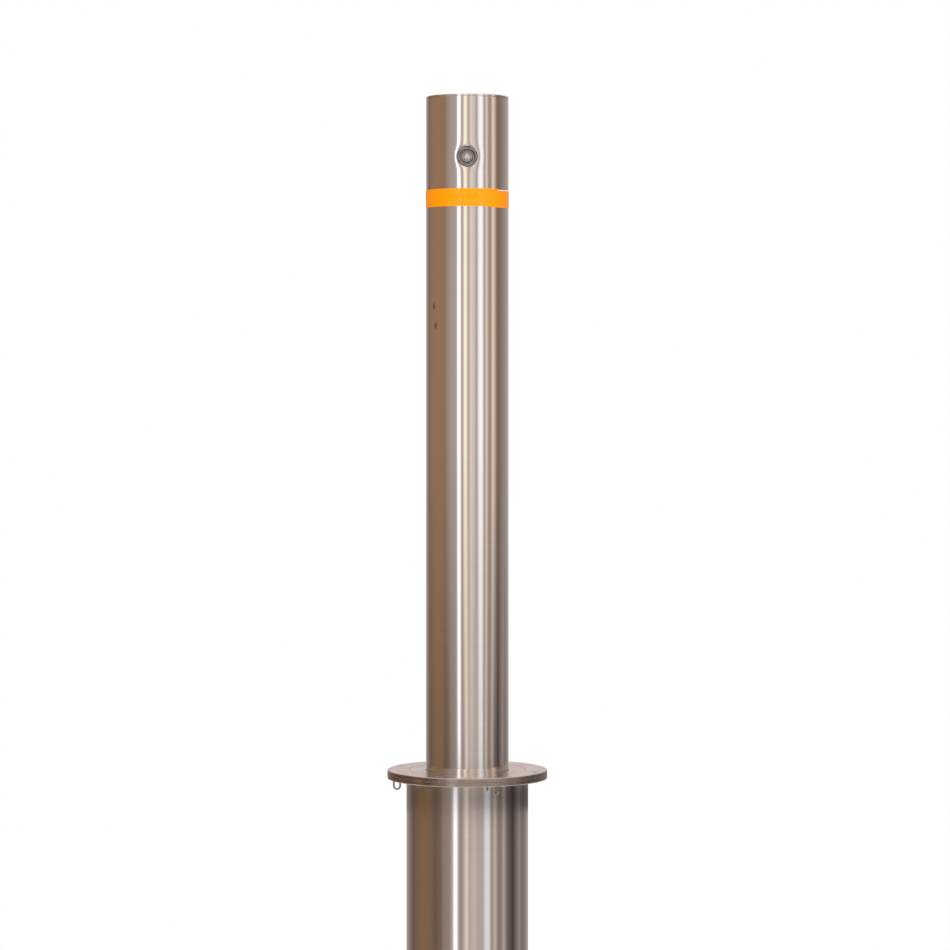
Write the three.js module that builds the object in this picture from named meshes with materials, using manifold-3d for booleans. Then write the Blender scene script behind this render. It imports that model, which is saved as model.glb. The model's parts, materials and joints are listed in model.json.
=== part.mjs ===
// Retractable steel safety bollard: a key-locked post that slides down into a sleeve set in the ground.
// Millimetres, +Z up. The origin is on the sleeve's axis, at the underside of the ground flange, and the
// lock faces -Y. The post stands raised, with its latch bolts drawn in.
import * as THREE from "three";
import { mergeVertices } from "three/addons/utils/BufferGeometryUtils.js";
import Module from "manifold-3d";

const wasm = await Module();
wasm.setup();

// ---- Driving dimensions ----
const post = { radius: 57.15, wall: 4, rise: 930, capThickness: 3, footZ: -171 };
const sleeve = { radius: 84.15, wall: 3, bottomZ: -1124, basePlate: 6, drainRadius: 20 };
const flange = { radius: 110.5, thickness: 6, coverThickness: 6, seamRadius: 80, bore: 66 };
const lock = { belowTop: 86, radius: 14.2, faceReach: 55.2, barrelRadius: 7.5, throw: 11 };
const bolt = { z: -93.5, height: 12, width: 18, pinX: 24, innerX: 14, tipX: 56, pinRadius: 3.8 };
const rod = { y: -12.5, radius: 5, plateThickness: 6 };
const keeper = { bore: 65.5, topZ: -100, thickness: 10 };
const bush = { bore: 58.2, outer: 65.7, length: 62, housingWall: 4, lip: 4 };
const tape = { belowTop: 129.5, width: 25.5, inner: 57.4, outer: 57.7 };
const rail = { halfWidth: 6, inner: 72.5, outer: 80.5 };
const buffer = { circle: 52, radius: 13, height: 14.5 };
const loopWire = { radius: 1.25, halfSpread: 4.6, reachDown: 12 };
const gap = 0.3; // between pieces that touch or are welded
const running = 0.3; // between pieces that slide on each other
const roundSides = 32;
const smallSides = 12;

// ---- Places worked out from them ----
const coverTopZ = flange.thickness + flange.coverThickness;
const postTopZ = coverTopZ + post.rise;
const tubeTopZ = postTopZ - post.capThickness;
const tubeBore = post.radius - post.wall;
const sleeveBore = sleeve.radius - sleeve.wall;
const lockZ = postTopZ - lock.belowTop;
const boltTravel = 2 * lock.throw * Math.sin(Math.PI / 4); // the rod's lift over a quarter turn

// Where the cover screws and anchor loops sit, in degrees from the front towards +X.
const loopAzimuths = [22.5, 112.5, 202.5, 292.5];
const screwAzimuths = [67.5, 157.5, 247.5, 337.5];

const finish = {
  post: new THREE.MeshStandardMaterial({ color: 0xa99c92, roughness: 0.28, metalness: 1 }),
  sleeve: new THREE.MeshStandardMaterial({ color: 0xa0948a, roughness: 0.2, metalness: 1 }),
  flange: new THREE.MeshStandardMaterial({ color: 0x9c8f84, roughness: 0.45, metalness: 1 }),
  tape: new THREE.MeshStandardMaterial({ color: 0xffa000, roughness: 0.35, metalness: 0 }),
  lock: new THREE.MeshStandardMaterial({ color: 0x8d8a8c, roughness: 0.15, metalness: 1 }),
  bright: new THREE.MeshStandardMaterial({ color: 0xb4b0ac, roughness: 0.35, metalness: 1 }),
  wire: new THREE.MeshStandardMaterial({ color: 0x5a5556, roughness: 0.4, metalness: 1 }),
  plated: new THREE.MeshStandardMaterial({ color: 0x9b9a92, roughness: 0.45, metalness: 1 }),
  acetal: new THREE.MeshStandardMaterial({ color: 0x23252a, roughness: 0.5, metalness: 0 }),
  rubber: new THREE.MeshStandardMaterial({ color: 0x151515, roughness: 0.85, metalness: 0 }),
};

const bollard = new THREE.Group();

function addPiece(name, geometry, material, place = { x: 0, y: 0, turnZ: 0 }) {
  const mesh = new THREE.Mesh(geometry, material);
  mesh.name = name;
  mesh.position.set(place.x, place.y, 0);
  mesh.rotation.z = place.turnZ;
  bollard.add(mesh);
}

// ---- Shape helpers ----

// A solid of revolution about Z from [radius, z] pairs, counter-clockwise. An outline that starts off
// the axis is closed on itself.
function turned(profile, sides = roundSides) {
  const points = profile.map(([r, z]) => new THREE.Vector2(r, z));
  if (profile[0][0] > 0) points.push(points[0].clone());
  return new THREE.LatheGeometry(points, sides).rotateX(Math.PI / 2);
}

// The same about the lock's axis, from [radius, reach] pairs, where reach is the distance from the post's
// axis towards -Y.
function turnedAlongLock(profile, sides = 24) {
  return turned(profile, sides).rotateX(Math.PI / 2).translate(0, 0, lockZ);
}

function ring(inner, outer, bottom, top, sides = roundSides) {
  return turned([[inner, bottom], [outer, bottom], [outer, top], [inner, top]], sides);
}

function disc(radius, bottom, top, sides = roundSides) {
  return turned([[0, bottom], [radius, bottom], [radius, top], [0, top]], sides);
}

function peg(radius, bottom, top, x, y, sides = smallSides) {
  return disc(radius, bottom, top, sides).translate(x, y, 0);
}

function block(x0, x1, y0, y1, z0, z1) {
  return new THREE.BoxGeometry(x1 - x0, y1 - y0, z1 - z0)
    .translate((x0 + x1) / 2, (y0 + y1) / 2, (z0 + z1) / 2);
}

// An upright plate in the XZ plane, centred on the pull rod, from an outline and holes drawn in x and z.
function uprightPlate(outline, centreY, thickness) {
  return new THREE.ExtrudeGeometry(outline, { depth: thickness, bevelEnabled: false, curveSegments: 7 })
    .rotateX(Math.PI / 2)
    .translate(0, centreY + thickness / 2, 0);
}

function rectangle(x0, x1, z0, z1) {
  return new THREE.Shape([
    new THREE.Vector2(x0, z0),
    new THREE.Vector2(x1, z0),
    new THREE.Vector2(x1, z1),
    new THREE.Vector2(x0, z1),
  ]);
}

// A slot with round ends from one centre to another.
function slotPath(x0, z0, x1, z1, halfWidth) {
  const along = Math.atan2(z1 - z0, x1 - x0);
  const path = new THREE.Path();
  path.absarc(x0, z0, halfWidth, along + Math.PI / 2, along + (3 * Math.PI) / 2, false);
  path.absarc(x1, z1, halfWidth, along - Math.PI / 2, along + Math.PI / 2, false);
  path.closePath();
  return path;
}

function solidOf(geometry) {
  const bare = geometry.index ? geometry.toNonIndexed() : geometry.clone();
  bare.deleteAttribute("normal");
  bare.deleteAttribute("uv");
  const merged = mergeVertices(bare, 1e-3);
  return new wasm.Manifold(new wasm.Mesh({
    numProp: 3,
    vertProperties: merged.attributes.position.array,
    triVerts: new Uint32Array(merged.index.array),
  }));
}

function geometryOf(solid) {
  const mesh = solid.getMesh();
  return new THREE.BufferGeometry()
    .setAttribute("position", new THREE.BufferAttribute(mesh.vertProperties, mesh.numProp))
    .setIndex(new THREE.BufferAttribute(mesh.triVerts, 1));
}

function cut(geometry, ...tools) {
  return geometryOf(tools.reduce((left, tool) => left.subtract(solidOf(tool)), solidOf(geometry)));
}

function joined(first, ...others) {
  return geometryOf(others.reduce((sum, other) => sum.add(solidOf(other)), solidOf(first)));
}

// The point at a radius and an azimuth, counted in degrees from the front towards +X.
function around(radius, azimuth) {
  const angle = THREE.MathUtils.degToRad(azimuth);
  return [radius * Math.sin(angle), -radius * Math.cos(angle)];
}

// ---- Ground sleeve ----

function addSleeve() {
  addPiece("outer_sleeve", ring(sleeveBore, sleeve.radius, sleeve.bottomZ, 0), finish.sleeve);
  const baseBottom = sleeve.bottomZ - sleeve.basePlate;
  addPiece("base_plate", ring(sleeve.drainRadius, sleeve.radius, baseBottom, sleeve.bottomZ), finish.flange);

  // Rubber buffers that the lowered post lands on.
  for (let i = 0; i < 3; i++) {
    const [x, y] = around(buffer.circle, i * 120);
    const pad = peg(buffer.radius, sleeve.bottomZ, sleeve.bottomZ + buffer.height, x, y);
    addPiece(`buffer_${i + 1}`, pad, finish.rubber);
  }

  // The rail that keeps the post from turning, welded up the back of the bore.
  const railTop = keeper.topZ - keeper.thickness - 6;
  const railBar = block(-rail.halfWidth, rail.halfWidth, rail.inner, rail.outer, sleeve.bottomZ + 4, railTop);
  addPiece("guide_rail", railBar, finish.plated);

  const keeperRing = ring(keeper.bore, sleeveBore - gap, keeper.topZ - keeper.thickness, keeper.topZ);
  addPiece("keeper_ring", keeperRing, finish.plated);
}

// ---- Ground flange, its cover and the upper guide ----

const coverScrew = { circle: 101, head: 6, shank: 3.9, bottomZ: 1 };
const guideScrew = { circle: 71, head: 4.8, shank: 2.8, bottomZ: 1 };

function screwTool(screw, azimuth) {
  const [x, y] = around(screw.circle, azimuth);
  const r = screw.shank + gap;
  const head = screw.head + gap;
  const cone = coverTopZ - (head - r);
  const profile = [[0, screw.bottomZ - 0.5], [r, screw.bottomZ - 0.5], [r, cone], [head, coverTopZ],
    [head, coverTopZ + 1], [0, coverTopZ + 1]];
  return turned(profile, smallSides).translate(x, y, 0);
}

// A countersunk screw with a socket, its head flush with the cover.
function screwGeometry(screw, azimuth) {
  const [x, y] = around(screw.circle, azimuth);
  const socket = screw.shank * 0.55;
  const profile = [[0, screw.bottomZ], [screw.shank, screw.bottomZ],
    [screw.shank, coverTopZ - (screw.head - screw.shank)], [screw.head, coverTopZ],
    [socket, coverTopZ], [socket, coverTopZ - 2], [0, coverTopZ - 2]];
  return turned(profile, smallSides).translate(x, y, 0);
}

function addFlange() {
  const coverTools = screwAzimuths.map((azimuth) => screwTool(coverScrew, azimuth));
  const guideTools = screwAzimuths.map((azimuth) => screwTool(guideScrew, azimuth));
  const groundRing = ring(flange.bore, flange.radius, 0, flange.thickness);
  addPiece("ground_flange", cut(groundRing, ...coverTools, ...guideTools), finish.flange);

  const coverInner = flange.seamRadius + 0.4;
  const coverProfile = [[coverInner, flange.thickness], [flange.radius, flange.thickness],
    [flange.radius, coverTopZ - 1], [flange.radius - 1, coverTopZ], [coverInner, coverTopZ]];
  addPiece("cover_ring", cut(turned(coverProfile), ...coverTools), finish.flange);

  const guideRing = ring(bush.bore + 0.6, flange.seamRadius, flange.thickness, coverTopZ);
  addPiece("guide_cap_ring", cut(guideRing, ...guideTools), finish.flange);

  screwAzimuths.forEach((azimuth, i) => {
    addPiece(`cover_screw_${i + 1}`, screwGeometry(coverScrew, azimuth), finish.bright);
    addPiece(`guide_screw_${i + 1}`, screwGeometry(guideScrew, azimuth), finish.bright);
  });

  const sealTop = flange.thickness - gap;
  const sealProfile = [[60, 0], [bush.outer, 0], [bush.outer, sealTop], [58, sealTop], [58, sealTop - 1.2]];
  addPiece("wiper_seal", turned(sealProfile), finish.rubber);
  addPiece("upper_guide_bush", ring(bush.bore, bush.outer, -bush.length + gap, -gap), finish.acetal);

  const wallOuter = flange.bore + bush.housingWall;
  const housingProfile = [[bush.bore + 0.4, -bush.length - bush.lip], [wallOuter, -bush.length - bush.lip],
    [wallOuter, 0], [flange.bore, 0], [flange.bore, -bush.length], [bush.bore + 0.4, -bush.length]];
  addPiece("bush_housing", turned(housingProfile), finish.plated);

  addAnchorLoops();
}

// Wire loops under the flange, each in a radial plane, which the reinforcement is tied to.
function addAnchorLoops() {
  const wireRadius = loopWire.radius;
  const legSpread = loopWire.halfSpread;
  const centre = flange.radius - wireRadius - legSpread - gap;
  const drop = loopWire.reachDown - wireRadius - legSpread;
  const wire = new THREE.Shape();
  wire.absarc(0, 0, wireRadius, 0, 2 * Math.PI, false);
  loopAzimuths.forEach((azimuth, i) => {
    const path = new THREE.CurvePath();
    const start = new THREE.Vector3(-legSpread, 0, -gap);
    const bendStart = new THREE.Vector3(-legSpread, 0, -drop);
    const bendEnd = new THREE.Vector3(legSpread, 0, -drop);
    const reach = (legSpread * 4) / 3; // control points of a half turn
    path.add(new THREE.LineCurve3(start, bendStart));
    path.add(new THREE.CubicBezierCurve3(
      bendStart,
      new THREE.Vector3(-legSpread, 0, -drop - reach),
      new THREE.Vector3(legSpread, 0, -drop - reach),
      bendEnd,
    ));
    path.add(new THREE.LineCurve3(bendEnd, new THREE.Vector3(legSpread, 0, -gap)));
    const loop = new THREE.ExtrudeGeometry(wire, { steps: 14, curveSegments: 3, extrudePath: path });
    const [x, y] = around(centre, azimuth);
    const turnZ = THREE.MathUtils.degToRad(azimuth - 90);
    addPiece(`anchor_loop_${i + 1}`, loop, finish.wire, { x, y, turnZ });
  });
}

// ---- Post shell ----

function addPostShell() {
  const tube = ring(tubeBore, post.radius, post.footZ, tubeTopZ);
  const lockHole = turnedAlongLock([[0, 30], [lock.radius + gap, 30], [lock.radius + gap, 70], [0, 70]]);
  const halfWindow = bolt.width / 2 + 0.5;
  const halfHeight = bolt.height / 2 + 0.5;
  const windows = block(-70, 70, -halfWindow, halfWindow, bolt.z - halfHeight, bolt.z + halfHeight);
  addPiece("post_tube", cut(tube, lockHole, windows), finish.post);

  // The lid, with a threaded socket in its middle for the lifting handle.
  const socketRadius = 14;
  const threadRadius = 8;
  const capProfile = [[socketRadius + gap, tubeTopZ], [post.radius, tubeTopZ], [post.radius, postTopZ - 1],
    [post.radius - 1, postTopZ], [socketRadius + gap, postTopZ]];
  addPiece("top_cap", turned(capProfile), finish.post);
  const socketProfile = [[0, postTopZ - 26], [socketRadius, postTopZ - 26], [socketRadius, postTopZ],
    [threadRadius, postTopZ], [threadRadius, postTopZ - 20], [0, postTopZ - 20]];
  addPiece("lift_socket", turned(socketProfile, 24), finish.bright);
  const plugRadius = threadRadius - gap;
  const plugProfile = [[0, postTopZ - 12], [plugRadius, postTopZ - 12], [plugRadius, postTopZ - 1],
    [2.4, postTopZ - 1], [2.4, postTopZ - 5], [0, postTopZ - 5]];
  addPiece("socket_plug", turned(plugProfile, smallSides), finish.acetal);

  const tapeTop = postTopZ - tape.belowTop;
  addPiece("reflective_band", ring(tape.inner, tape.outer, tapeTop - tape.width, tapeTop), finish.tape);
}

// ---- Post foot ----

function addPostFoot() {
  const stopTop = keeper.topZ - keeper.thickness - 0.5;
  const stopBottom = stopTop - 3;
  const footRadius = 71;
  const flangeBottom = post.footZ - 8;
  addPiece("stop_ring", ring(post.radius + gap, footRadius, stopBottom, stopTop), finish.plated);

  const shoe = ring(post.radius + gap, sleeveBore - 0.55, post.footZ + gap, stopBottom - gap);
  const railNotch = block(-rail.halfWidth - 1, rail.halfWidth + 1, rail.inner - 1, rail.outer + 10, -200, 0);
  addPiece("foot_guide", cut(shoe, railNotch), finish.acetal);

  const screwPlaces = [45, 135, 225, 315].map((azimuth) => around(40, azimuth));
  const shankHoles = screwPlaces.map(([x, y]) => peg(3.2, -190, -150, x, y));
  const headHoles = screwPlaces.map(([x, y]) => peg(5.4, -190, flangeBottom + 5, x, y));
  const footPlate = ring(12, tubeBore - 0.35, post.footZ, post.footZ + 8);
  addPiece("foot_plate", cut(footPlate, ...shankHoles), finish.plated);
  const footFlange = ring(12, footRadius, flangeBottom, post.footZ);
  addPiece("foot_flange", cut(footFlange, ...shankHoles, ...headHoles), finish.plated);
  screwPlaces.forEach(([x, y], i) => {
    const profile = [[0, flangeBottom + 0.5], [5, flangeBottom + 0.5], [5, flangeBottom + 4.7],
      [2.9, flangeBottom + 4.7], [2.9, post.footZ + 7], [0, post.footZ + 7]];
    addPiece(`foot_screw_${i + 1}`, turned(profile, 12).translate(x, y, 0), finish.bright);
  });
}

// ---- Lock ----

function addLock() {
  const face = lock.faceReach;
  const recess = 9.8;
  const journal = lock.barrelRadius + running;
  addPiece("lock_housing", turnedAlongLock([
    [journal, 30], [12, 30], [12, 41], [lock.radius, 41], [lock.radius, face - 0.5],
    [lock.radius - 0.5, face], [recess + 1.2, face], [recess, face - 1.2], [recess, 45], [journal, 45],
  ]), finish.lock);

  const bracket = rectangle(-33.6, 33.6, lockZ - 22, lockZ + 22);
  const bracketHole = new THREE.Path();
  bracketHole.absarc(0, lockZ, 12.8, 0, 2 * Math.PI, true);
  bracket.holes.push(bracketHole);
  addPiece("lock_bracket", uprightPlate(bracket, -38.5, 4.4), finish.plated);

  const nut = turnedAlongLock([[0, 30.4], [19, 30.4], [19, 36], [0, 36]], 6);
  const nutHole = turnedAlongLock([[0, 30], [12 + gap, 30], [12 + gap, 37], [0, 37]], smallSides * 2);
  addPiece("lock_nut", cut(nut, nutHole), finish.plated);

  // The barrel ends in a three-sided drive stud and carries the crank on its tail.
  const barrelFace = 50.6;
  const barrel = turnedAlongLock([
    [3.2, 20.3], [5, 20.3], [5, 26.8], [lock.barrelRadius, 26.8], [lock.barrelRadius, 27.8], [6.7, 27.8],
    [6.7, 29.5], [lock.barrelRadius, 29.5], [lock.barrelRadius, barrelFace - 0.8],
    [lock.barrelRadius - 0.8, barrelFace], [0, barrelFace], [0, 31], [3.2, 31],
  ]);
  const stud = new THREE.CylinderGeometry(4.6, 5.6, 4, 3, 1).translate(0, barrelFace + 1, 0)
    .rotateX(Math.PI).translate(0, 0, lockZ);
  addPiece("lock_spindle", joined(barrel, stud), finish.lock);
  const circlip = turnedAlongLock([[7, 28.1], [10.5, 28.1], [10.5, 29.2], [7, 29.2]]);
  addPiece("spindle_circlip", circlip, finish.bright);

  // The crank, at 45 degrees above +X while the bolts are drawn in.
  const pinX = lock.throw * Math.cos(Math.PI / 4);
  const pinZ = lockZ + lock.throw * Math.sin(Math.PI / 4);
  const arm = new THREE.Shape();
  arm.absarc(0, lockZ, 8.5, (3 * Math.PI) / 4, -Math.PI / 4, false);
  arm.absarc(pinX, pinZ, 6, -Math.PI / 4, (3 * Math.PI) / 4, false);
  const hubHole = new THREE.Path();
  hubHole.absarc(0, lockZ, 5.3, 0, 2 * Math.PI, true);
  const pinHole = new THREE.Path();
  pinHole.absarc(pinX, pinZ, 3.3, 0, 2 * Math.PI, true);
  arm.holes.push(hubHole, pinHole);
  addPiece("crank_arm", uprightPlate(arm, -23.5, 6), finish.plated);
  const pin = disc(3, 9.2, 26, 12).rotateX(Math.PI / 2).translate(pinX, 0, pinZ);
  addPiece("crank_pin", pin, finish.bright);
  addPiece("crank_screw", turnedAlongLock([
    [0, 17.2], [6.5, 17.2], [6.5, 20.2], [2.9, 20.2], [2.9, 30], [0, 30],
  ], 12), finish.bright);
}

// ---- Pull rod, from the crank down to the bolts ----

function addPullRod() {
  const half = lock.throw * Math.sin(Math.PI / 4);
  const slotZ = lockZ + half;
  const pinSlack = 0.6;
  const yoke = rectangle(-9, 21, slotZ - 18, slotZ + 10);
  yoke.holes.push(slotPath(half - 1, slotZ, lock.throw + 1, slotZ, 3 + pinSlack));
  addPiece("yoke_plate", uprightPlate(yoke, rod.y, rod.plateThickness), finish.plated);

  const camTop = bolt.z + 29.5;
  addPiece("pull_rod", peg(rod.radius, camTop + gap, slotZ - 18 - gap, 0, rod.y), finish.plated);

  // Two slots at 45 degrees drive the bolts out as the rod comes down.
  const cam = rectangle(-47, 47, bolt.z - 9.5, camTop);
  [-1, 1].forEach((side) => {
    const x = side * bolt.pinX;
    cam.holes.push(slotPath(x, bolt.z, x + side * boltTravel, bolt.z + boltTravel, bolt.pinRadius + 0.4));
  });
  addPiece("cam_plate", uprightPlate(cam, rod.y, rod.plateThickness), finish.plated);

  [["rod_guide_upper", 780], ["rod_guide_lower", 380]].forEach(([name, z]) => {
    const plate = disc(tubeBore - 0.35, z, z + 6);
    const rodHole = peg(rod.radius + running, z - 1, z + 7, 0, rod.y);
    const drains = [0, 120, 240].map((azimuth) => peg(9, z - 1, z + 7, ...around(34, azimuth)));
    addPiece(name, cut(plate, rodHole, ...drains), finish.plated);
  });
}

// ---- Latch bolts ----

function addBolts() {
  const top = bolt.z + bolt.height / 2;
  const bottom = bolt.z - bolt.height / 2;
  const plateThickness = 8;
  const groove = 2;
  const halfGroove = bolt.width / 2 + running;
  const camSlot = block(-47.6, 47.6, rod.y - 3.6, rod.y + 3.6, -150, -50);
  const upperBottom = top + running - groove;
  const upper = disc(tubeBore - 0.35, upperBottom, upperBottom + plateThickness);
  const upperGroove = block(-60, 60, -halfGroove, halfGroove, upperBottom - 1, top + running);
  addPiece("upper_bolt_guide", cut(upper, upperGroove, camSlot), finish.plated);
  const lowerTop = bottom - running + groove;
  const lower = disc(tubeBore - 0.35, lowerTop - plateThickness, lowerTop);
  const lowerGroove = block(-60, 60, -halfGroove, halfGroove, bottom - running, lowerTop + 1);
  addPiece("lower_bolt_guide", cut(lower, lowerGroove, camSlot), finish.plated);

  [["left", -1], ["right", 1]].forEach(([side, sign]) => {
    const bevel = 1.5;
    const outline = new THREE.Shape([
      [bolt.innerX, bottom], [bolt.tipX - bevel, bottom], [bolt.tipX, bottom + bevel],
      [bolt.tipX, top - bevel], [bolt.tipX - bevel, top], [bolt.innerX, top],
    ].map(([x, z]) => new THREE.Vector2(sign * x, z)));
    const bar = uprightPlate(outline, 0, bolt.width);
    const pinX = sign * bolt.pinX;
    const pinHole = disc(bolt.pinRadius + gap, 3.7, 20, smallSides).rotateX(Math.PI / 2)
      .translate(pinX, 0, bolt.z);
    addPiece(`latch_bolt_${side}`, cut(bar, pinHole), finish.bright);
    const pin = disc(bolt.pinRadius, 4, 16.4, smallSides).rotateX(Math.PI / 2).translate(pinX, 0, bolt.z);
    addPiece(`bolt_pin_${side}`, pin, finish.bright);
  });
}

addSleeve();
addFlange();
addPostShell();
addPostFoot();
addLock();
addPullRod();
addBolts();

export default bollard;
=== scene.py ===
"""Looks of the retractable steel safety bollard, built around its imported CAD.

Lengths are in millimetres until a mesh is made.
"""
import json
import math

import bmesh
import bpy
from mathutils import Matrix, Vector


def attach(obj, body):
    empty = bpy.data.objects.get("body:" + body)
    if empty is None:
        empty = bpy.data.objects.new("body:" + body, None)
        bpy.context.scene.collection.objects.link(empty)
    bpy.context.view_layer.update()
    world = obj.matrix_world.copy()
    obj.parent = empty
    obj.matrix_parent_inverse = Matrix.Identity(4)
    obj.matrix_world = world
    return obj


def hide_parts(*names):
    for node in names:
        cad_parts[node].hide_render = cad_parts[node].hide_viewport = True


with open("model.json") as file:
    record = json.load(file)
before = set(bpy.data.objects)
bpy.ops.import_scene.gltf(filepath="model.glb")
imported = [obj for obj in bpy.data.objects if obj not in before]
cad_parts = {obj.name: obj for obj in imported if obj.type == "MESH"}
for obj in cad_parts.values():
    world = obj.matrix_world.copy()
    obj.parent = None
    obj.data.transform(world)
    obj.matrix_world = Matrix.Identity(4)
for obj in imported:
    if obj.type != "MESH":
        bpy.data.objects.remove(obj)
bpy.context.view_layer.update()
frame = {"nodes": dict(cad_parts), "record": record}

MM = 0.001
POST_R, SLEEVE_R, FLANGE_R = 57.15, 84.15, 110.5
POST_INNER_R, SLEEVE_INNER_R = 53.15, 81.15
FLANGE_TOP, POST_TOP, LOCK_Z = 12.0, 942.0, 856.0
SLEEVE_BOTTOM, BASE_BOTTOM = -1124.0, -1130.0
TAPE_TOP, TAPE_WIDTH = 812.5, 25.5
LOCK_HOLE_R = 14.5
GUIDE_BORE_R = 57.9  # the guide plate's bore and the wiper's lip
SMOOTH_ANGLE = 35
ROUND = 192  # sides of the big turned pieces


# ---- Meshes ----

def fillet(corners, close=True, steps=4):
    """A closed outline from (r, z, radius) corners, each rounded, with a loop held on both sides of it."""
    made = []
    count = len(corners)
    for i, (r, z, radius) in enumerate(corners):
        here = Vector((r, z))
        if radius <= 0 or (not close and i in (0, count - 1)):
            made.append(here)
            continue
        before = (Vector(corners[i - 1][:2]) - here)
        after = (Vector(corners[(i + 1) % count][:2]) - here)
        a, b = before.normalized(), after.normalized()
        angle = a.angle(b)
        reach = radius / math.tan(angle / 2)
        hold = min(reach + 0.35, 0.49 * before.length, 0.49 * after.length)
        centre = here + (a + b).normalized() * (radius / math.sin(angle / 2))
        if hold > reach + 0.02:
            made.append(here + a * hold)
        start = here + a * reach - centre
        end = here + b * reach - centre
        turn = math.atan2(start.x * end.y - start.y * end.x, start.dot(end))
        for k in range(steps + 1):
            t = turn * k / steps
            made.append(centre + Vector((start.x * math.cos(t) - start.y * math.sin(t),
                                         start.x * math.sin(t) + start.y * math.cos(t))))
        if hold > reach + 0.02:
            made.append(here + b * hold)
    return made


def placed_object(name, bm, smooth_angle=SMOOTH_ANGLE):
    """An object from a bmesh in millimetres, shaded smooth up to an angle; big faces keep their normals."""
    bmesh.ops.scale(bm, vec=(MM, MM, MM), verts=bm.verts)
    data = bpy.data.meshes.new(name)
    bm.to_mesh(data)
    bm.free()
    data.shade_smooth()
    data.set_sharp_from_angle(angle=math.radians(smooth_angle))
    made = bpy.data.objects.new(name, data)
    bpy.context.scene.collection.objects.link(made)
    weighted = made.modifiers.new("weighted", "WEIGHTED_NORMAL")
    weighted.keep_sharp = True
    return made


def mesh_object(name, bm, smooth_angle=SMOOTH_ANGLE):
    """An object from a bmesh whose faces may be doubled at corners or turned the wrong way."""
    bmesh.ops.remove_doubles(bm, verts=bm.verts, dist=1e-4)
    bmesh.ops.recalc_face_normals(bm, faces=bm.faces)
    return placed_object(name, bm, smooth_angle)


def turned(outline, sides=ROUND, closed=True):
    """A bmesh turned about Z from an outline of (r, z) points."""
    bm = bmesh.new()
    turns = [2 * math.pi * i / sides for i in range(sides)]
    rows = []
    for r, z in outline:
        if r < 1e-6:
            rows.append([bm.verts.new((0, 0, z))])
            continue
        rows.append([bm.verts.new((r * math.sin(t), -r * math.cos(t), z)) for t in turns])
    pairs = list(zip(rows, rows[1:])) + ([(rows[-1], rows[0])] if closed else [])
    for low, high in pairs:
        if len(low) == 1 and len(high) == 1:
            continue
        for i in range(sides):
            j = (i + 1) % sides
            corners = [low[i % len(low)], low[j % len(low)], high[j % len(high)], high[i % len(high)]]
            bm.faces.new(list(dict.fromkeys(corners)))
    return bm


def prism(outline, z0, z1):
    """A bmesh prism from (x, y) points."""
    bm = bmesh.new()
    low = [bm.verts.new((x, y, z0)) for x, y in outline]
    high = [bm.verts.new((x, y, z1)) for x, y in outline]
    bm.faces.new(low[::-1])
    bm.faces.new(high)
    for i in range(len(outline)):
        j = (i + 1) % len(outline)
        bm.faces.new((low[i], low[j], high[j], high[i]))
    return bm


def polygon(radius, sides, turn=0.0):
    turns = [turn + 2 * math.pi * i / sides for i in range(sides)]
    return [(radius * math.cos(t), radius * math.sin(t)) for t in turns]


def moved(bm, x=0.0, y=0.0, z=0.0):
    bmesh.ops.translate(bm, vec=(x, y, z), verts=bm.verts)
    return bm


def cut(made, tool_bm):
    """Takes a bmesh tool, in millimetres, out of an object's mesh."""
    bmesh.ops.recalc_face_normals(tool_bm, faces=tool_bm.faces)
    bmesh.ops.scale(tool_bm, vec=(MM, MM, MM), verts=tool_bm.verts)
    data = bpy.data.meshes.new("tool")
    tool_bm.to_mesh(data)
    tool_bm.free()
    tool = bpy.data.objects.new("tool", data)
    bpy.context.scene.collection.objects.link(tool)
    modifier = made.modifiers.new("cut", "BOOLEAN")
    modifier.operation = "DIFFERENCE"
    modifier.solver = "EXACT"
    modifier.object = tool
    while made.modifiers[0] != modifier:
        made.modifiers.move(len(made.modifiers) - 1, 0)
    shown = made.modifiers.get("weighted")
    if shown:
        shown.show_viewport = False
    result = bpy.data.meshes.new_from_object(made.evaluated_get(bpy.context.evaluated_depsgraph_get()))
    if shown:
        shown.show_viewport = True
    made.modifiers.remove(modifier)
    made.data = result
    result.set_sharp_from_angle(angle=math.radians(SMOOTH_ANGLE))
    bpy.data.objects.remove(tool)
    bpy.data.meshes.remove(data)
    return made


def around(radius, azimuth):
    """The point at a radius and an azimuth, in degrees from the front towards +X."""
    a = math.radians(azimuth)
    return radius * math.sin(a), -radius * math.cos(a)


# ---- Materials ----

def tint(color, factor, lift=0.0):
    """A colour made darker or paler, with its alpha."""
    return (*[c * factor + lift for c in color], 1)


class Nodes:
    """Short ways to add nodes to a tree."""

    def __init__(self, tree):
        self.tree = tree

    def node(self, kind, inputs=None, **settings):
        made = self.tree.nodes.new(kind)
        for key, value in settings.items():
            setattr(made, key, value)
        for key, value in (inputs or {}).items():
            if hasattr(value, "node"):
                self.tree.links.new(value, made.inputs[key])
            else:
                made.inputs[key].default_value = value
        return made

    def math(self, operation, a, b=0.0, c=0.0):
        return self.node("ShaderNodeMath", {0: a, 1: b, 2: c}, operation=operation).outputs[0]

    def between(self, fac, low, high, from_low=0.3, from_high=0.7):
        return self.node("ShaderNodeMapRange", {"Value": fac, "From Min": from_low, "From Max": from_high,
                                                "To Min": low, "To Max": high}).outputs["Result"]

    def mix(self, fac, a, b, blend="MIX"):
        made = self.node("ShaderNodeMix", data_type="RGBA", blend_type=blend)
        for index, value in ((0, fac), (6, a), (7, b)):
            if hasattr(value, "node"):
                self.tree.links.new(value, made.inputs[index])
            else:
                made.inputs[index].default_value = value
        return made.outputs[2]


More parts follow.
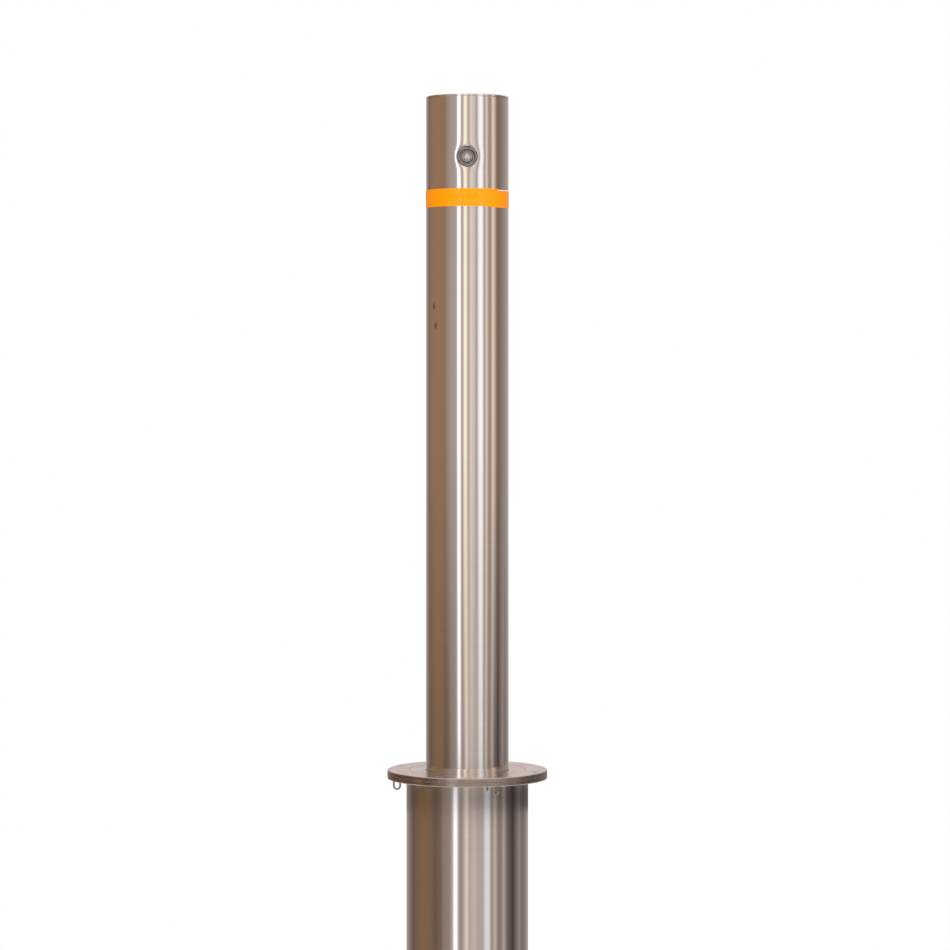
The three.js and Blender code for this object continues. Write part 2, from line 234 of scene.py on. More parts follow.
class Look(Nodes):
    """A Principled material, and the nodes behind its sockets."""

    def __init__(self, name, color, metallic=0.0, roughness=0.5, **sockets):
        self.material = bpy.data.materials.new(name)
        self.material.use_nodes = True
        super().__init__(self.material.node_tree)
        self.shader = self.tree.nodes["Principled BSDF"]
        self.place = self.tree.nodes.new("ShaderNodeTexCoord").outputs["Object"]
        self.height = None
        self.set("Base Color", (*color, 1))
        self.set("Metallic", metallic)
        self.set("Roughness", roughness)
        for socket, value in sockets.items():
            self.set(socket.replace("_", " "), value)

    def set(self, socket, value):
        self.shader.inputs[socket].default_value = value

    def stretched(self, scale):
        return self.node("ShaderNodeVectorMath", {0: self.place, 1: scale}, operation="MULTIPLY").outputs[0]

    def noise(self, scale, detail=4.0, stretch=(1, 1, 1), rough=0.55):
        inputs = {"Vector": self.stretched(stretch), "Scale": scale, "Detail": detail, "Roughness": rough}
        return self.node("ShaderNodeTexNoise", inputs).outputs["Fac"]

    def plug(self, output, socket):
        self.tree.links.new(output, self.shader.inputs[socket])

    def bump(self, height, strength, distance):
        inputs = {"Height": height, "Strength": strength, "Distance": distance}
        if self.height is not None:
            inputs["Normal"] = self.height
        self.height = self.node("ShaderNodeBump", inputs).outputs["Normal"]
        self.plug(self.height, "Normal")

    def azimuth(self):
        """The angle round Z in radians, from the front towards +X, and the radius and height in metres."""
        split = self.node("ShaderNodeSeparateXYZ", {0: self.place})
        x, y = split.outputs[0], split.outputs[1]
        angle = self.math("ARCTAN2", x, self.math("MULTIPLY", y, -1.0))
        radius = self.math("SQRT", self.math("ADD", self.math("MULTIPLY", x, x), self.math("MULTIPLY", y, y)))
        return angle, radius, split.outputs[2]


STAIN_SQUASH = 0.45  # makes a stain taller than it is wide


def polished_tube(name, color, roughness, ripple, stains=()):
    """Stainless pipe polished round its axis: fine rings, faint waves left by rolling, and handling marks."""
    look = Look(name, color, 1.0, roughness, Anisotropic=0.85, Anisotropic_Rotation=0.25)
    look.plug(look.node("ShaderNodeTangent", direction_type="RADIAL", axis="Z").outputs[0], "Tangent")
    rings = look.noise(1.0, 3.0, (30, 30, 1500))
    patches = look.noise(9.0, 5.0, (1, 1, 0.35))
    grain = look.noise(1.0, 2.0, (900, 900, 9000))
    shade = look.mix(look.between(patches, 0.0, 1.0), tint(color, 0.93), tint(color, 1.0))
    shade = look.mix(look.between(rings, 0.0, 0.16), shade, tint(color, 0.62))
    rough = look.math("ADD", look.between(rings, roughness * 0.85, roughness * 1.15),
                      look.between(grain, -0.012, 0.012))
    for azimuth, height, size in stains:
        x, y = around(POST_R * MM, azimuth)
        ends = {0: look.stretched((1, 1, STAIN_SQUASH)), 1: (x, y, height * STAIN_SQUASH)}
        away = look.node("ShaderNodeVectorMath", ends, operation="DISTANCE").outputs["Value"]
        spread = look.math("ADD", away, look.between(look.noise(320.0, 3.0), -0.35 * size, 0.35 * size))
        mark = look.between(spread, 0.75, 0.0, size * 0.35, size)
        shade = look.mix(mark, shade, (0.17, 0.085, 0.035, 1))
        rough = look.math("ADD", rough, look.math("MULTIPLY", mark, 0.25))
    look.plug(shade, "Base Color")
    look.plug(rough, "Roughness")
    look.bump(look.noise(1.0, 2.0, (16, 16, 2.2)), 1.0, ripple * MM)
    look.bump(rings, 0.1, 0.003 * MM)
    return look.material


RINGS_PER_METRE = 900.0


def satin_plate(name, color, roughness):
    """Turned stainless plate: rings about the axis, small scratches and a few dull patches."""
    look = Look(name, color, 1.0, roughness, Anisotropic=0.35)
    look.plug(look.node("ShaderNodeTangent", direction_type="RADIAL", axis="Z").outputs[0], "Tangent")
    _, radius, height = look.azimuth()
    across = look.math("MULTIPLY", radius, RINGS_PER_METRE)
    upward = look.math("MULTIPLY", height, RINGS_PER_METRE)
    ring_place = look.node("ShaderNodeCombineXYZ", {0: across, 1: upward, 2: 0.0}).outputs[0]
    ring_inputs = {"Vector": ring_place, "Scale": 1.0, "Detail": 3.0}
    rings = look.node("ShaderNodeTexNoise", ring_inputs).outputs["Fac"]
    patches = look.noise(38.0, 6.0)
    scratch_inputs = {"Vector": look.stretched((700, 90, 700)), "Scale": 1.0, "Detail": 2.0}
    scratches = look.node("ShaderNodeTexNoise", scratch_inputs).outputs["Fac"]
    shade = look.mix(look.between(patches, 0.0, 1.0), tint(color, 0.72), tint(color, 1.12))
    shade = look.mix(look.between(rings, 0.0, 0.3), shade, tint(color, 0.5))
    # The plates' outer edge is painted dark brown, mottled by the patches: painted shade.
    painted_shade_rim = look.between(radius, 0.0, 0.8, FLANGE_R * MM - 0.0008, FLANGE_R * MM - 0.0002)
    shade = look.mix(painted_shade_rim, shade, look.mix(patches, (0.13, 0.10, 0.08, 1), (0.42, 0.34, 0.29, 1)))
    look.plug(shade, "Base Color")
    look.plug(look.math("ADD", look.between(patches, roughness * 0.8, roughness * 1.2),
                        look.between(scratches, -0.05, 0.05)), "Roughness")
    look.bump(patches, 0.3, 0.05 * MM)
    look.bump(rings, 0.5, 0.01 * MM)
    return look.material


def small_metal(name, color, roughness, scale=260.0, depth=0.02):
    """Machined or drawn metal on small pieces: fine grain, uneven polish and uneven tone."""
    look = Look(name, color, 1.0, roughness)
    grain = look.noise(scale, 5.0)
    fine = look.noise(scale * 9, 2.0)
    shade = look.mix(look.between(grain, 0.0, 1.0), tint(color, 0.7), tint(color, 1.1))
    look.plug(shade, "Base Color")
    look.plug(look.math("ADD", look.between(grain, roughness * 0.75, roughness * 1.3),
                        look.between(fine, -0.04, 0.04)), "Roughness")
    look.bump(fine, 0.4, depth * MM)
    return look.material


def zinc_plated(name):
    """Dull zinc on mild steel, with its spangle and whitish bloom."""
    look = Look(name, (0.5, 0.5, 0.47), 0.85, 0.45)
    spangle = look.node("ShaderNodeTexVoronoi", {"Vector": look.place, "Scale": 160.0}).outputs["Distance"]
    bloom = look.noise(22.0, 6.0)
    shade = look.mix(look.between(bloom, 0.0, 1.0), (0.38, 0.38, 0.36, 1), (0.62, 0.62, 0.58, 1))
    shade = look.mix(look.between(spangle, 0.0, 0.2, 0.0, 0.6), shade, (0.75, 0.75, 0.72, 1))
    look.plug(shade, "Base Color")
    look.plug(look.between(bloom, 0.36, 0.6), "Roughness")
    look.bump(spangle, 0.2, 0.05 * MM)
    return look.material


def dull_polymer(name, color, roughness, depth):
    """Machined acetal or moulded rubber: slight mottling, turning marks and dust."""
    look = Look(name, color, 0.0, roughness, Specular_IOR_Level=0.4)
    mottle = look.noise(60.0, 6.0)
    fine = look.noise(1400.0, 3.0)
    shade = look.mix(look.between(mottle, 0.0, 1.0), tint(color, 0.7), tint(color, 1.5, 0.004))
    look.plug(shade, "Base Color")
    look.plug(look.between(fine, roughness * 0.85, min(1.0, roughness * 1.15)), "Roughness")
    look.bump(fine, 0.5, depth * MM)
    return look.material


def reflective_film(name):
    """Amber prismatic film: a lattice of small cells, sealed along diagonal lines, and a white top margin."""
    look = Look(name, (1.0, 0.36, 0.0), 0.0, 0.3, Coat_Weight=0.1, Coat_Roughness=0.12,
                Specular_IOR_Level=0.2)
    angle, _, height = look.azimuth()
    along = look.math("MULTIPLY", angle, POST_R)
    up = look.math("MULTIPLY", height, 1 / MM)
    cell = 3.4
    margin_height = 2.3
    lap_azimuth = 47.5
    lines = []
    for sign in (1.0, -1.0):
        place = look.math("DIVIDE", look.math("ADD", along, look.math("MULTIPLY", up, sign)), cell)
        lines.append(look.math("ABSOLUTE", look.math("SUBTRACT", look.math("FRACT", place), 0.5)))
    lattice = look.math("MAXIMUM", lines[0], lines[1])
    seal = look.between(lattice, 0.0, 1.0, 0.25, 0.45)
    cells = look.noise(300.0, 2.0)
    shade = look.mix(look.between(cells, 0.0, 1.0), (0.97, 0.33, 0.0, 1), (1.0, 0.39, 0.0, 1))
    shade = look.mix(look.math("MULTIPLY", seal, 0.7), shade, (0.8, 0.19, 0.0, 1))
    margin_from = look.math("ADD", TAPE_TOP - margin_height, look.math("MULTIPLY", angle, 0.35))
    past_lap = look.math("GREATER_THAN", angle, math.radians(lap_azimuth))
    margin = look.math("MULTIPLY", past_lap, look.math("GREATER_THAN", up, margin_from))
    shade = look.mix(margin, shade, (0.95, 0.95, 0.95, 1))
    look.plug(shade, "Base Color")
    look.plug(look.between(cells, 0.24, 0.4), "Roughness")
    # The film glows faintly in its own colour: painted light, as the film is no lamp.
    look.plug(shade, "Emission Color")
    look.set("Emission Strength", 0.08)
    look.bump(lattice, 0.35, 0.08 * MM)
    return look.material


def floor_paint(name):
    """Matt pale paint, a little uneven."""
    look = Look(name, (0.88, 0.88, 0.88), 0.0, 0.6)
    tone = look.noise(3.0, 5.0)
    look.plug(look.mix(look.between(tone, 0.0, 1.0), (0.86, 0.86, 0.86, 1), (0.9, 0.9, 0.9, 1)), "Base Color")
    look.bump(look.noise(600.0, 3.0), 0.1, 0.0002)
    return look.material


looks = {
    "post_steel": polished_tube("post_steel", (0.76, 0.73, 0.70), 0.045, 0.01,
                                ((-53, 0.652, 0.0026), (-49, 0.625, 0.0030))),
    "sleeve_steel": polished_tube("sleeve_steel", (0.76, 0.73, 0.70), 0.035, 0.005),
    "flange_steel": satin_plate("flange_steel", (0.70, 0.64, 0.60), 0.26),
    "reflective_tape": reflective_film("reflective_tape"),
    "lock_steel": small_metal("lock_steel", (0.42, 0.4, 0.42), 0.12, 420.0, 0.008),
    # Darker and paler copies of the lock's steel: on the bezel the darker colour is painted shade, on the
    # stud the paler one is a painted highlight.
    "lock_steel_painted_shade": small_metal("lock_steel_painted_shade", (0.34, 0.32, 0.35), 0.07, 420.0, 0.008),
    "lock_steel_painted_highlight": small_metal("lock_steel_painted_highlight", (0.8, 0.78, 0.8), 0.1, 420.0, 0.008),
    "screw_steel": small_metal("screw_steel", (0.62, 0.59, 0.56), 0.3),
    "loop_wire": small_metal("loop_wire", (0.28, 0.26, 0.26), 0.38, 500.0, 0.03),
    "inner_steel": zinc_plated("inner_steel"),
    "acetal": dull_polymer("acetal", (0.018, 0.019, 0.022), 0.5, 0.02),
    "rubber": dull_polymer("rubber", (0.012, 0.012, 0.012), 0.8, 0.08),
}

slot_of = {part["node"]: part["material_slot"] for part in frame["record"]["subparts"]}
for node, shown in frame["nodes"].items():
    shown.data.materials.clear()
    shown.data.materials.append(looks[slot_of[node]])

body_of = {}
for body, members in frame["record"]["behaviour"]["bodies"].items():
    for member in members:
        body_of[member] = body


def finish_piece(made, node, look=None):
    """Gives a piece its node's material and body, and stands it in for the node."""
    made.data.materials.clear()
    made.data.materials.append(looks[look or slot_of[node]])
    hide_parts(node)
    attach(made, body_of[node])
    return made


# ---- Post ----

DISH_DEPTH, DISH_FALL, DISH_REACH = 0.5, 3.2, 45
POST_FOOT, POST_RIM = -171.0, 938.8
LIP = 0.25  # the bevel on the wall's edges


def dish(reach):
    """How far the wall is pressed in round the lock, at a distance from the lock's axis."""
    return DISH_DEPTH * math.exp(-max(0.0, reach - LOCK_HOLE_R) / DISH_FALL)


def wall_point(s, z, radius):
    """A point of the post's wall, from its distance round the wall and its height, with the lock's dish."""
    angle = s / POST_R
    x = POST_R * math.sin(angle)
    reach = math.hypot(x, z - LOCK_Z) if abs(angle) < 1.2 else math.inf
    r = radius - (dish(reach) if reach < DISH_REACH else 0.0)
    return r * math.sin(angle), -r * math.cos(angle), z


def post_tube():
    """The tube as a grid, with a round patch of rings about the lock hole."""
    bm = bmesh.new()
    half = 17  # the patch's half width, in columns
    step = 2 * math.pi * POST_R / ROUND
    patch_z = [LOCK_Z + step * k for k in range(-half, half + 1)]
    below = [POST_FOOT, POST_FOOT + 0.4, -60.0, 0.0, 200.0, 400.0, 600.0, 780.0]
    rows = below + patch_z + [925.0, POST_RIM - 0.4, POST_RIM]
    wall = {}
    for row, z in enumerate(rows):
        for column in range(ROUND):
            s = step * (column if column <= ROUND // 2 else column - ROUND)
            inset = LIP if row in (0, len(rows) - 1) else 0.0
            wall[row, column] = bm.verts.new(wall_point(s, z, POST_R - inset))
    first = rows.index(patch_z[0])
    last = first + 2 * half
    for row in range(len(rows) - 1):
        for column in range(ROUND):
            after = (column + 1) % ROUND
            centred = column if column < ROUND // 2 else column - ROUND
            if first <= row < last and -half <= centred < half:
                continue
            bm.faces.new((wall[row, column], wall[row, after], wall[row + 1, after], wall[row + 1, column]))
    border = [(first, c) for c in range(-half, half)] + [(r, half) for r in range(first, last)]
    border += [(last, c) for c in range(half, -half, -1)] + [(r, -half) for r in range(last, first, -1)]
    rings = 22
    before = None
    start = None
    for row, column in border + border[:1]:
        outer = wall[row, column % ROUND]
        if start and (row, column) == border[0]:
            line = start
        else:
            s, z = step * column, rows[row] - LOCK_Z
            turn = math.atan2(z, s)
            edge = (POST_R * math.asin(LOCK_HOLE_R * math.cos(turn) / POST_R), LOCK_HOLE_R * math.sin(turn))
            line = [outer]
            for k in range(1, rings + 1):
                t = (k / rings) ** 0.8
                point = wall_point(s + (edge[0] - s) * t, LOCK_Z + z + (edge[1] - z) * t, POST_R)
                line.append(bm.verts.new(point))
            lip_s, lip_z = edge[0] * 0.985, edge[1] * 0.985
            line.append(bm.verts.new(wall_point(lip_s, LOCK_Z + lip_z, POST_R - LIP)))
            line.append(bm.verts.new(wall_point(lip_s, LOCK_Z + lip_z, POST_R - 3.9)))
        if before:
            for k in range(len(line) - 1):
                bm.faces.new((before[k], line[k], line[k + 1], before[k + 1]))
        start = start or line
        before = line
    bore = [around(POST_INNER_R, 360 * c / ROUND) for c in range(ROUND)]
    inner = [[bm.verts.new((x, y, z)) for x, y in bore] for z in (rows[0], 835.0, 877.0, rows[-1])]
    for low, high in zip(inner, inner[1:]):
        for column in range(ROUND):
            after = (column + 1) % ROUND
            centred = column if column < ROUND // 2 else column - ROUND
            if low is inner[1] and abs(centred + 0.5) < 12:
                continue
            bm.faces.new((low[after], low[column], high[column], high[after]))
    for column in range(ROUND):
        after = (column + 1) % ROUND
        bm.faces.new((wall[0, after], wall[0, column], inner[0][column], inner[0][after]))
        top = len(rows) - 1
        bm.faces.new((wall[top, column], wall[top, after], inner[-1][after], inner[-1][column]))
    made = placed_object("post_wall", bm)
    bolt_windows = prism([(-70, -9.5), (70, -9.5), (70, 9.5), (-70, 9.5)], -100, -87)
    cut(made, bolt_windows)
    return finish_piece(made, "post_tube")


def tape():
    """The reflective film, wrapped once round and rising a little, with its end lapped over its start."""
    bm = bmesh.new()
    lap, end = 14.0, 407.0
    count = 220
    sections = []
    for i in range(count + 1):
        azimuth = end - (360.0 + lap) * (1 - i / count)
        over = max(0.0, min(1.0, (azimuth - 392.0) / 2.0))
        low = 1.2 * max(0.0, 1 - (azimuth - 33.0) / 200.0)
        r = 57.32 + 0.17 * over
        z0, z1 = TAPE_TOP - TAPE_WIDTH + 1.2 - low, TAPE_TOP - low
        section = [(r - 0.12, z0), (r + 0.12, z0 + 0.06), (r + 0.17, z0 + 0.35), (r + 0.17, z1 - 0.35),
                   (r + 0.12, z1 - 0.06), (r - 0.12, z1)]
        sections.append([bm.verts.new((*around(rr, azimuth), zz)) for rr, zz in section])
    for a, b in zip(sections, sections[1:]):
        for k in range(6):
            n = (k + 1) % 6
            bm.faces.new((a[k], b[k], b[n], a[n]))
    bm.faces.new(sections[0])
    bm.faces.new(sections[-1][::-1])
    return finish_piece(mesh_object("film_band", bm, 40), "reflective_band")


def lid():
    """The lid on the post, with its lifting socket and the plug in that."""
    outline = fillet([(14.25, 939.05, 0.2), (POST_R, 939.05, 0.45), (POST_R, POST_TOP, 1.3),
                      (14.25, POST_TOP, 0.35)], steps=5)
    finish_piece(mesh_object("lid", turned(outline)), "top_cap")
    outline = fillet([(0, 916, 0), (14, 916, 0.6), (14, 941.9, 0.5), (8, 941.9, 0.9), (8, 922, 0.4),
                      (0, 922, 0)], False)
    finish_piece(mesh_object("lifting_socket", turned(outline, 96, False)), "lift_socket")
    outline = fillet([(0, 930, 0), (7.7, 930, 0.6), (7.7, 941, 0.7), (0, 941, 0)], False)
    plug = mesh_object("plug", turned(outline, 72, False))
    cut(plug, prism(polygon(2.7, 6), 936.5, 943))
    finish_piece(plug, "socket_plug")


post_tube()
tape()
lid()


# ---- Lock ----

def along_lock(bm):
    """Turns a bmesh made about Z, with its height as reach, so that it lies along the lock's axis."""
    bmesh.ops.rotate(bm, cent=(0, 0, 0), matrix=Matrix.Rotation(math.pi / 2, 3, "X"), verts=bm.verts)
    return moved(bm, z=LOCK_Z)


def lock():
    """The bezel, and the barrel with its three-sided stud."""
    outline = fillet([(7.8, 30, 0.3), (12, 30, 0.4), (12, 41, 0.2), (14.2, 41, 0.3), (14.2, 55.2, 2.2),
                      (10.4, 55.2, 1.6), (9.4, 45, 0.2), (7.8, 45, 0.2)], steps=8)
    housing = mesh_object("lock_bezel", along_lock(turned(outline, 128)))
    # The bezel's darker steel is painted shade.
    finish_piece(housing, "lock_housing", look="lock_steel_painted_shade")
    outline = fillet([(3.2, 20.4, 0.2), (5, 20.4, 0.3), (5, 26.8, 0), (7.5, 26.8, 0.2), (7.5, 27.8, 0),
                      (6.7, 27.8, 0), (6.7, 29.5, 0), (7.5, 29.5, 0.1), (7.5, 50.6, 0.7), (5.6, 50.6, 0.25),
                      (5.4, 50.2, 0.1), (0, 50.2, 0), (0, 31, 0), (3.2, 31, 0)], steps=5)
    barrel = mesh_object("lock_barrel", along_lock(turned(outline, 96)))
    stud = bmesh.new()
    levels = ((47.0, 1.0), (53.0, 0.93), (53.45, 0.88), (53.6, 0.8))
    corners = []
    for k in range(3):
        centre = math.pi / 2 + 2 * math.pi * k / 3
        x, y = 2.9 * math.cos(centre), 2.9 * math.sin(centre)
        corners += [(x + 1.7 * math.cos(centre + 0.35 * k), y + 1.7 * math.sin(centre + 0.35 * k))
                    for k in range(-3, 4)]
    rows = [[stud.verts.new((x * size, y * size, reach)) for x, y in corners] for reach, size in levels]
    for low, high in zip(rows, rows[1:]):
        for i in range(len(corners)):
            j = (i + 1) % len(corners)
            stud.faces.new((low[i], low[j], high[j], high[i]))
    stud.faces.new(rows[0][::-1])
    stud.faces.new(rows[-1])
    stud_made = mesh_object("lock_stud", along_lock(stud))
    # The stud's paler steel is a painted highlight.
    stud_made.data.materials.append(looks["lock_steel_painted_highlight"])
    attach(stud_made, "lock")
    finish_piece(barrel, "lock_spindle")


lock()


# ---- Flange and its screws ----

screw_azimuths = (67.5, 157.5, 247.5, 337.5)
COVER_SCREW = (101.0, 6.0, 3.9)  # its circle, head radius and shank radius
GUIDE_SCREW = (71.0, 4.8, 2.8)


def screw_seat(screw, azimuth):
    """The hole and countersink that a screw takes out of the plates."""
    circle, head, shank = screw
    outline = [(0, 0.4), (shank + 0.2, 0.4), (shank + 0.2, FLANGE_TOP - (head - shank)),
               (head + 0.2, FLANGE_TOP), (head + 0.2, FLANGE_TOP + 2), (0, FLANGE_TOP + 2)]
    return moved(turned(outline, 48, False), *around(circle, azimuth))


def screw_piece(name, screw, azimuth, node):
    """A countersunk screw with a hexagon socket."""
    circle, head, shank = screw
    outline = fillet([(0, 1, 0), (shank, 1, 0.4), (shank, FLANGE_TOP - (head - shank), 0.2),
                      (head, FLANGE_TOP - 0.1, 0.2), (0, FLANGE_TOP - 0.1, 0)], False)
    made = mesh_object(name, moved(turned(outline, 48, False), *around(circle, azimuth)))
    x, y = around(circle, azimuth)
    socket = prism(polygon(shank * 0.62, 6, math.radians(azimuth)), FLANGE_TOP - 2.8, FLANGE_TOP + 1)
    cut(made, moved(socket, x, y))
    return finish_piece(made, node)


def flange():
    """The ground plate, the cover and guide plates on it, their screws and the wiper."""
    outline = fillet([(66, 0, 0.5), (FLANGE_R, 0, 1.2), (FLANGE_R, 5.9, 0.6), (66, 5.9, 0.4)])
    ring = mesh_object("flange_plate", turned(outline))
    outline = fillet([(80.4, 6.05, 0.3), (FLANGE_R, 6.05, 0.6), (FLANGE_R, FLANGE_TOP, 1.6),
                      (80.4, FLANGE_TOP, 0.4)], steps=6)
    cover = mesh_object("cover_plate", turned(outline))
    outline = fillet([(GUIDE_BORE_R, 6.05, 0.3), (80.0, 6.05, 0.3), (80.0, FLANGE_TOP - 0.15, 0.4),
                      (GUIDE_BORE_R, FLANGE_TOP - 0.15, 0.5)], steps=5)
    guide = mesh_object("guide_plate", turned(outline))
    for i, azimuth in enumerate(screw_azimuths):
        cut(ring, screw_seat(COVER_SCREW, azimuth))
        cut(ring, screw_seat(GUIDE_SCREW, azimuth))
        cut(cover, screw_seat(COVER_SCREW, azimuth))
        cut(guide, screw_seat(GUIDE_SCREW, azimuth))
        screw_piece(f"cover_bolt_{i + 1}", COVER_SCREW, azimuth, f"cover_screw_{i + 1}")
        screw_piece(f"guide_bolt_{i + 1}", GUIDE_SCREW, azimuth, f"guide_screw_{i + 1}")
    finish_piece(ring, "ground_flange")
    finish_piece(cover, "cover_ring")
    finish_piece(guide, "guide_cap_ring")
    wiper = fillet([(60, 0.1, 0.3), (65.7, 0.1, 0.3), (65.7, 5.6, 0.3), (GUIDE_BORE_R, 5.6, 0.3),
                    (GUIDE_BORE_R, 4.6, 0.3)])
    finish_piece(mesh_object("wiper", turned(wiper)), "wiper_seal")


def anchor_loop(index, azimuth):
    """Bent wire with upright legs and a half-round bottom, in a radial plane."""
    bm = bmesh.new()
    wire, spread, drop, centre = 1.25, 4.6, 6.15, 104.35
    path = [(-spread, -0.05 - k * (drop - 0.05) / 6, math.pi / 2) for k in range(6)]
    path += [(-spread * math.cos(t), -drop - spread * math.sin(t), math.pi / 2 - t)
             for t in [math.pi * k / 24 for k in range(25)]]
    path += [(spread, -drop + k * (drop - 0.05) / 6, -math.pi / 2) for k in range(1, 7)]
    a = math.radians(azimuth)
    outward, sideways = Vector((math.sin(a), -math.cos(a), 0)), Vector((math.cos(a), math.sin(a), 0))
    sections = []
    for offset, z, lean in path:
        middle = outward * (centre + offset) + Vector((0, 0, z))
        across = outward * math.sin(lean) + Vector((0, 0, 1)) * math.cos(lean)
        sections.append([bm.verts.new(middle + (across * math.cos(t) + sideways * math.sin(t)) * wire)
                         for t in [2 * math.pi * k / 16 for k in range(16)]])
    for low, high in zip(sections, sections[1:]):
        for k in range(16):
            bm.faces.new((low[k], low[(k + 1) % 16], high[(k + 1) % 16], high[k]))
    bm.faces.new(sections[0][::-1])
    bm.faces.new(sections[-1])
    finish_piece(mesh_object(f"wire_loop_{index}", bm, 50), f"anchor_loop_{index}")


flange()
for number, place in enumerate((22.5, 112.5, 202.5, 292.5), 1):
    anchor_loop(number, place)


# ---- Sleeve ----

def sleeve():
    """The sleeve's tube, and the plate with the drain hole under it."""
    outline = fillet([(SLEEVE_INNER_R, SLEEVE_BOTTOM, 0.2), (SLEEVE_R, SLEEVE_BOTTOM, 0.2),
                      (SLEEVE_R, -0.02, 0.2), (SLEEVE_INNER_R, -0.02, 0.2)])
    finish_piece(mesh_object("sleeve_wall", turned(outline)), "outer_sleeve")
    edge, top = SLEEVE_R - 0.05, SLEEVE_BOTTOM - 0.05
    outline = fillet([(20, BASE_BOTTOM, 0.8), (edge, BASE_BOTTOM, 0.9), (edge, top, 0.7), (20, top, 0.5)])
    finish_piece(mesh_object("sleeve_base", turned(outline)), "base_plate")


sleeve()

# ---- Floor, lights, world and camera ----

FLOOR_R = 3000
FLOOR_TOP, FLOOR_UNDER = BASE_BOTTOM - 0.2, BASE_BOTTOM - 12
floor_outline = [(0, FLOOR_TOP), (600, FLOOR_TOP), (FLOOR_R, FLOOR_TOP), (FLOOR_R, FLOOR_UNDER),
                 (0, FLOOR_UNDER)]
floor = mesh_object("floor", turned(floor_outline, 96, False))
floor.data.materials.append(floor_paint("floor_paint"))


def area_light(name, place, target, size, power, color):
    """A soft light that metal doesn't mirror; places and sizes are in metres."""
    data = bpy.data.lights.new(name, "AREA")
    data.shape = "RECTANGLE"
    data.size, data.size_y = size
    data.energy = power
    data.color = color
    made = bpy.data.objects.new(name, data)
    made.location = place
    made.rotation_euler = (Vector(target) - Vector(place)).to_track_quat("-Z", "Y").to_euler()
    made.visible_glossy = False
    made.visible_camera = False
    bpy.context.scene.collection.objects.link(made)


area_light("key", (-2.2, -3.6, 2.6), (0, 0, 0.3), (1.8, 1.8), 85, (1.0, 0.97, 0.94))
area_light("fill", (2.6, -2.8, 1.4), (0, 0, 0.2), (1.6, 2.2), 40, (0.95, 0.97, 1.0))
area_light("top", (0.3, 0.4, 3.4), (0, 0, 0), (2.0, 2.0), 60, (1, 1, 1))

# The room that the steel mirrors: its lights and walls, by the direction they lie in, in degrees from the
# front towards +X. The post mirrors both parts and the sleeve the lower one. The tones are linear light.
TONES = {
    "lamp": (1.8, 1.75, 1.9), "cream": (1.2, 1.08, 0.9), "cloud": (1.15, 1.15, 1.2),
    "linen": (0.9, 0.77, 0.68), "pale": (0.7, 0.62, 0.6), "dusk": (0.45, 0.38, 0.35),
    "sand": (0.42, 0.32, 0.27), "tan": (0.3, 0.2, 0.14), "ochre": (0.34, 0.205, 0.115),
    "brown": (0.22, 0.15, 0.12), "stone": (0.28, 0.23, 0.22), "dark": (0.1, 0.07, 0.07),
}
LOWER_ROOM = (
    (-180, "pale"), (-125, "brown"), (-95, "ochre"), (-80, "ochre"), (-72, "tan"), (-63, "brown"),
    (-52, "tan"), (-46, "sand"), (-34, "dusk"), (-28, "pale"), (-25, "lamp"), (-20, "lamp"),
    (-17, "pale"), (-11, "dusk"), (-5, "linen"), (-1, "cream"), (4, "pale"), (12, "linen"),
    (20, "pale"), (30, "pale"), (34, "cloud"), (41, "cloud"), (47, "dusk"), (53, "linen"),
    (60, "sand"), (67, "sand"), (73, "pale"), (80, "stone"), (96, "dark"), (116, "dusk"), (128, "stone"),
)
UPPER_ROOM = (
    (-180, "pale"), (-136, "brown"), (-115, "tan"), (-96, "ochre"), (-80, "ochre"), (-66, "tan"),
    (-53, "sand"), (-44, "dusk"), (-34, "dusk"), (-28, "pale"), (-26, "lamp"), (-21, "lamp"),
    (-18, "pale"), (-13, "dusk"), (-8, "cream"), (-4, "cream"), (3, "dusk"), (9, "linen"),
    (20, "pale"), (26, "dusk"), (34, "cloud"), (41, "cloud"), (49, "sand"), (55, "linen"),
    (62, "sand"), (69, "sand"), (76, "linen"), (90, "tan"), (98, "brown"), (112, "stone"), (150, "dusk"),
)
LOWER_LIGHT, UPPER_LIGHT = 0.84, 1.16
# A direction's rise is its upward share, from -1 straight down to 1 straight up.
CHANGE = (-0.11, -0.02)  # where the lower room turns into the upper one
EAVES = (-0.1305, -0.1285)  # where a shadow on the lower room begins
SILL = (-0.1215, -0.1205)  # where that shadow ends and the foot of the lamp begins
LAMP_FOOT = (-0.1155, -0.1145)  # where the lamp itself begins
CEILING = (0.55, 0.95)  # where the walls give way to a pale ceiling
LAMP_AZIMUTH = -23


def ramp_round(nodes, share, walls):
    """A colour ramp round the room from its walls."""
    ramp = nodes.node("ShaderNodeValToRGB", {"Fac": share})
    elements = ramp.color_ramp.elements
    for i, (azimuth, tone) in enumerate(walls):
        place = (azimuth + 180) / 360
        element = elements[0] if i == 0 else elements.new(place)
        element.position = place
        element.color = (*TONES[tone], 1)
    elements[len(elements) - 1].position = 1.0
    elements[len(elements) - 1].color = elements[0].color
    return ramp.outputs["Color"]


def scaled(nodes, color, factor):
    """A colour made brighter or darker by a factor."""
    return nodes.node("ShaderNodeVectorMath", {0: color, 3: factor}, operation="SCALE").outputs[0]


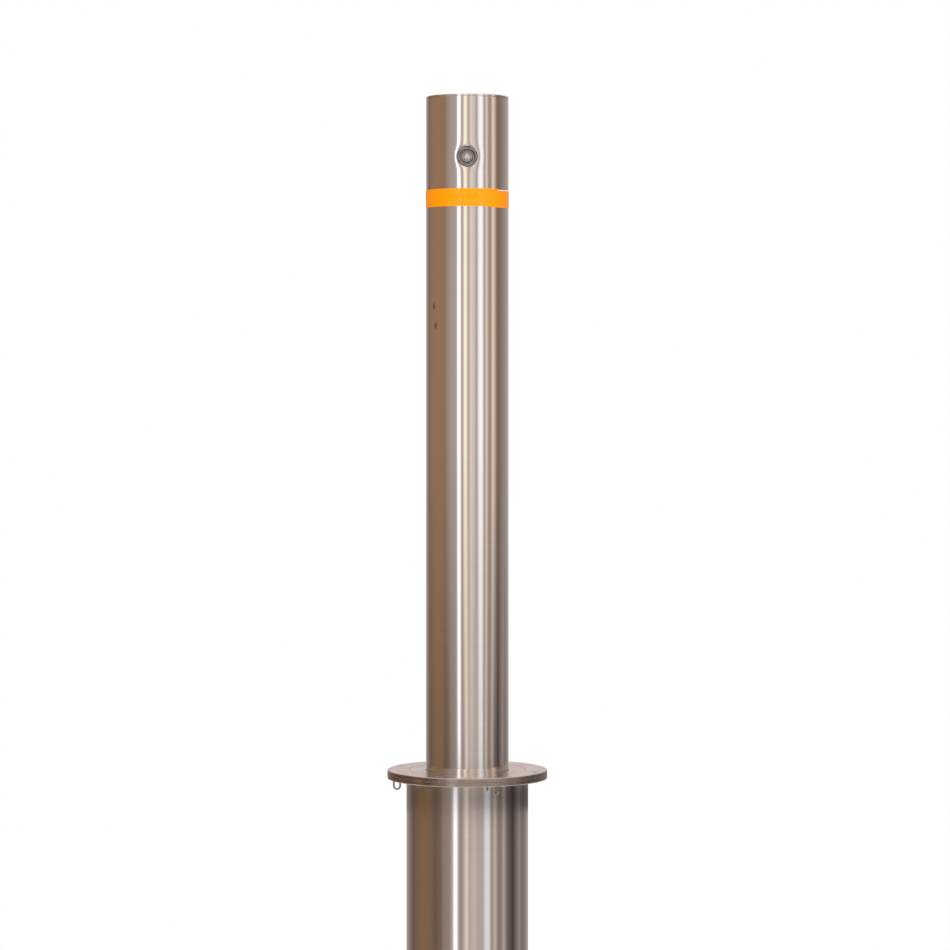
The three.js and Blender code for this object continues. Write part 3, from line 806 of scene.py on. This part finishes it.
def room():
    """The world: the room for what the steel mirrors, and plain white for the camera."""
    world = bpy.data.worlds.new("room")
    bpy.context.scene.world = world
    world.use_nodes = True
    world.node_tree.nodes.clear()
    nodes = Nodes(world.node_tree)
    direction = nodes.node("ShaderNodeTexCoord").outputs["Generated"]
    x, y, z = nodes.node("ShaderNodeSeparateXYZ", {0: direction}).outputs
    angle = nodes.math("ARCTAN2", x, nodes.math("MULTIPLY", y, -1.0))
    share = nodes.between(angle, 0.0, 1.0, -math.pi, math.pi)
    lower = scaled(nodes, ramp_round(nodes, share, LOWER_ROOM), LOWER_LIGHT)
    upper = scaled(nodes, ramp_round(nodes, share, UPPER_ROOM), UPPER_LIGHT)
    walls = nodes.mix(nodes.between(z, 0.0, 1.0, *CHANGE), lower, upper)
    above_sill = nodes.between(z, 0.0, 1.0, *SILL)
    below_sill = nodes.between(z, 1.0, 0.0, *SILL)
    in_shadow = nodes.math("MULTIPLY", nodes.between(z, 0.0, 1.0, *EAVES), below_sill)
    depth = nodes.between(angle, 0.34, 0.74, math.radians(-16), math.radians(14))
    walls = nodes.mix(nodes.math("MULTIPLY", in_shadow, depth), walls, (0.02, 0.015, 0.012, 1))
    below_lamp = nodes.math("MULTIPLY", nodes.between(z, 0.85, 0.0, *LAMP_FOOT), above_sill)
    from_lamp = nodes.math("ABSOLUTE", nodes.math("ADD", angle, math.radians(-LAMP_AZIMUTH)))
    near_lamp = nodes.between(from_lamp, 1.0, 0.0, math.radians(5), math.radians(9))
    around_us = nodes.mix(nodes.math("MULTIPLY", below_lamp, near_lamp), walls, (0.36, 0.26, 0.19, 1))
    overhead = nodes.node("ShaderNodeMapRange", {"Value": z, "From Min": CEILING[0], "From Max": CEILING[1]},
                          interpolation_type="SMOOTHSTEP").outputs["Result"]
    mirrored = nodes.mix(overhead, around_us, (1.15, 1.12, 1.1, 1))
    mirror = nodes.node("ShaderNodeBackground", {"Color": mirrored}).outputs[0]
    backdrop = nodes.node("ShaderNodeBackground", {"Color": (1, 1, 1, 1)}).outputs[0]
    camera_ray = nodes.node("ShaderNodeLightPath").outputs["Is Camera Ray"]
    shown = nodes.node("ShaderNodeMixShader", {0: camera_ray, 1: mirror, 2: backdrop}).outputs[0]
    nodes.node("ShaderNodeOutputWorld", {"Surface": shown})


room()
bpy.context.scene.view_settings.view_transform = "Standard"

camera_data = bpy.data.cameras.new("camera")
camera_data.lens = 122.2
camera_data.sensor_width = 36
camera_data.shift_x = 0.0081
camera_data.shift_y = -0.0905
camera_data.clip_end = 60
camera = bpy.data.objects.new("camera", camera_data)
camera.location = (0, -4.463, 0.538)  # metres; level, and above the flange
camera.rotation_euler = (math.pi / 2, 0, 0)
bpy.context.scene.collection.objects.link(camera)
bpy.context.scene.camera = camera
